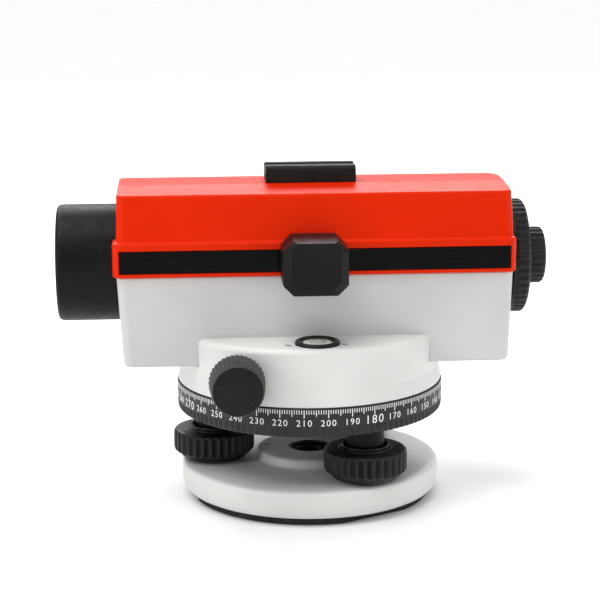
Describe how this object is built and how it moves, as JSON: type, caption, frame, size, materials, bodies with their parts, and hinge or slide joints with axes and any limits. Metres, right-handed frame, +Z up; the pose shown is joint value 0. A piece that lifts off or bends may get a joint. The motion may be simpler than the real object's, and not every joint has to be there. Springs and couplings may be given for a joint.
{
  "type": "automatic level",
  "caption": "Self-levelling surveying telescope with a red cover on a white rotating head, graduated circle, three foot screws and a round base.",
  "frame": {"origin": "on the vertical axis at the underside of the base pad, where the instrument rests on a tripod head", "axes": "+X along the line of sight from the objective to the eyepiece, +Y to the observer's right, +Z up the vertical axis"},
  "size_m": [0.2047, 0.1368, 0.1417],
  "materials": {
    "red_enamel": "satin orange-red enamel",
    "white_enamel": "fine-textured off-white enamel",
    "black_plastic": "satin moulded black",
    "black_metal": "black anodised satin",
    "strip_black": "glossy black strip",
    "rubber": "matt black",
    "steel": "turned",
    "brass": "turned",
    "aluminium": "milled",
    "glass": "clear polished"
  },
  "bodies": {
    "base": {"base_pad": "rubber", "base_plate": "white_enamel", "spring_plate": "steel", "foot_shoe_2": "steel", "foot_shoe_3": "steel"},
    "foot_shoe_1": {"foot_shoe_1": "steel"},
    "foot_screw_1": {"foot_screw_1": "steel", "foot_knob_1": "black_plastic"},
    "foot_screw_2": {"foot_screw_2": "steel", "foot_knob_2": "black_plastic"},
    "foot_screw_3": {"foot_screw_3": "steel", "foot_knob_3": "black_plastic"},
    "tribrach": {"tribrach_plate": "black_metal", "foot_bush_1": "black_metal", "foot_bush_2": "black_metal", "foot_bush_3": "black_metal", "axis_bush": "brass", "friction_washer": "brass"},
    "circle": {"circle_ring": "black_metal"},
    "clutch": {"worm_wheel": "brass"},
    "head": {"head_casing": "white_enamel", "axis_spindle": "steel", "tangent_bush_near": "white_enamel", "tangent_bush_far": "white_enamel", "bubble_housing": "black_metal", "bubble_vial": "glass", "bubble_screw_left": "steel", "bubble_screw_right": "steel", "prism_housing": "black_plastic", "bubble_prism": "glass", "lower_casing": "white_enamel", "top_cover": "red_enamel", "side_strip_near": "strip_black", "side_strip_far": "strip_black", "sight_bar": "black_plastic", "objective_hood": "black_metal", "objective_cell": "black_metal", "objective_lens_front": "glass", "objective_lens_rear": "glass", "objective_retainer": "black_metal", "main_tube": "black_metal", "focus_bush": "brass", "compensator_frame": "aluminium", "fixed_prism_front": "glass", "fixed_prism_rear": "glass", "reticle_cell": "brass", "reticle_glass": "glass", "eyepiece_cover": "black_plastic"},
    "tangent_drive": {"tangent_worm": "steel", "tangent_knob_near": "black_plastic", "tangent_knob_far": "black_plastic"},
    "focus_slide": {"focus_slide": "brass", "focus_lens": "glass"},
    "focus_knob": {"focus_pinion": "steel", "focus_knob": "black_plastic"},
    "pendulum": {"pendulum_frame": "aluminium", "pendulum_prism": "glass"},
    "eyepiece": {"eyepiece_tube": "black_metal", "eye_lens": "glass"},
    "diopter_ring": {"diopter_ring": "black_plastic"}
  },
  "joints": [
    {"name": "foot_screw_1_turn", "type": "hinge", "parent": "foot_shoe_1", "child": "foot_screw_1", "pos_m": [-0.0412, 0, 0.0155], "axis": [0, 0, 1], "range_deg": [-720, 720]},
    {"name": "foot_screw_2_turn", "type": "hinge", "parent": "base", "child": "foot_screw_2", "pos_m": [0.0206, -0.03568, 0.0155], "axis": [0, 0, 1], "range_deg": [-414, 414]},
    {"name": "foot_screw_3_turn", "type": "hinge", "parent": "base", "child": "foot_screw_3", "pos_m": [0.0206, 0.03568, 0.0155], "axis": [0, 0, 1], "range_deg": [-415, 415]},
    {"name": "cross_tilt", "type": "hinge", "parent": "base", "child": "foot_shoe_1", "pos_m": [-0.0412, 0, 0.0155], "axis": [1, 0, 0], "range_deg": [-1.4, 1.4]},
    {"name": "main_tilt", "type": "hinge", "parent": "foot_shoe_1", "child": "tribrach", "pos_m": [0.0206, 0, 0.0155], "axis": [0, 1, 0], "range_deg": [-1.4, 1.4]},
    {"name": "circle_turn", "type": "hinge", "parent": "tribrach", "child": "circle", "pos_m": [0, 0, 0.0385], "axis": [0, 0, 1], "continuous": true},
    {"name": "clutch_turn", "type": "hinge", "parent": "tribrach", "child": "clutch", "pos_m": [0, 0, 0.0576], "axis": [0, 0, 1], "continuous": true},
    {"name": "head_fine_turn", "type": "hinge", "parent": "clutch", "child": "head", "pos_m": [0, 0, 0.0509], "axis": [0, 0, 1], "continuous": true},
    {"name": "tangent_turn", "type": "hinge", "parent": "head", "child": "tangent_drive", "pos_m": [-0.0327, 0, 0.0616], "axis": [0, 1, 0], "continuous": true},
    {"name": "focus_knob_turn", "type": "hinge", "parent": "head", "child": "focus_knob", "pos_m": [-0.0175, 0.0326, 0.0869], "axis": [0, 1, 0], "range_deg": [-250, 250]},
    {"name": "focus_slide_travel", "type": "slide", "parent": "head", "child": "focus_slide", "axis": [1, 0, 0], "range_m": [-0.0137, 0.0137]},
    {"name": "pendulum_swing", "type": "hinge", "parent": "head", "child": "pendulum", "pos_m": [0.034, 0, 0.111], "axis": [0, 1, 0], "range_deg": [-0.5, 0.5]},
    {"name": "eyepiece_travel", "type": "slide", "parent": "head", "child": "eyepiece", "axis": [1, 0, 0], "range_m": [-0.0003, 0.0033]},
    {"name": "diopter_turn", "type": "hinge", "parent": "eyepiece", "child": "diopter_ring", "pos_m": [0.0913, 0, 0.1012], "axis": [1, 0, 0], "range_deg": [-46, 496]}
  ],
  "couplings": [
    {"joint": "main_tilt", "follows": "foot_screw_1_turn", "ratio": 0.0019315},
    {"joint": "cross_tilt", "follows": "foot_screw_2_turn", "ratio": 0.0033454},
    {"joint": "foot_screw_3_turn", "follows": "foot_screw_2_turn", "ratio": -1},
    {"joint": "tangent_turn", "follows": "head_fine_turn", "ratio": 90},
    {"joint": "focus_knob_turn", "follows": "focus_slide_travel", "rad_per_m": 317.46},
    {"joint": "diopter_turn", "follows": "eyepiece_travel", "rad_per_m": 2618}
  ]
}
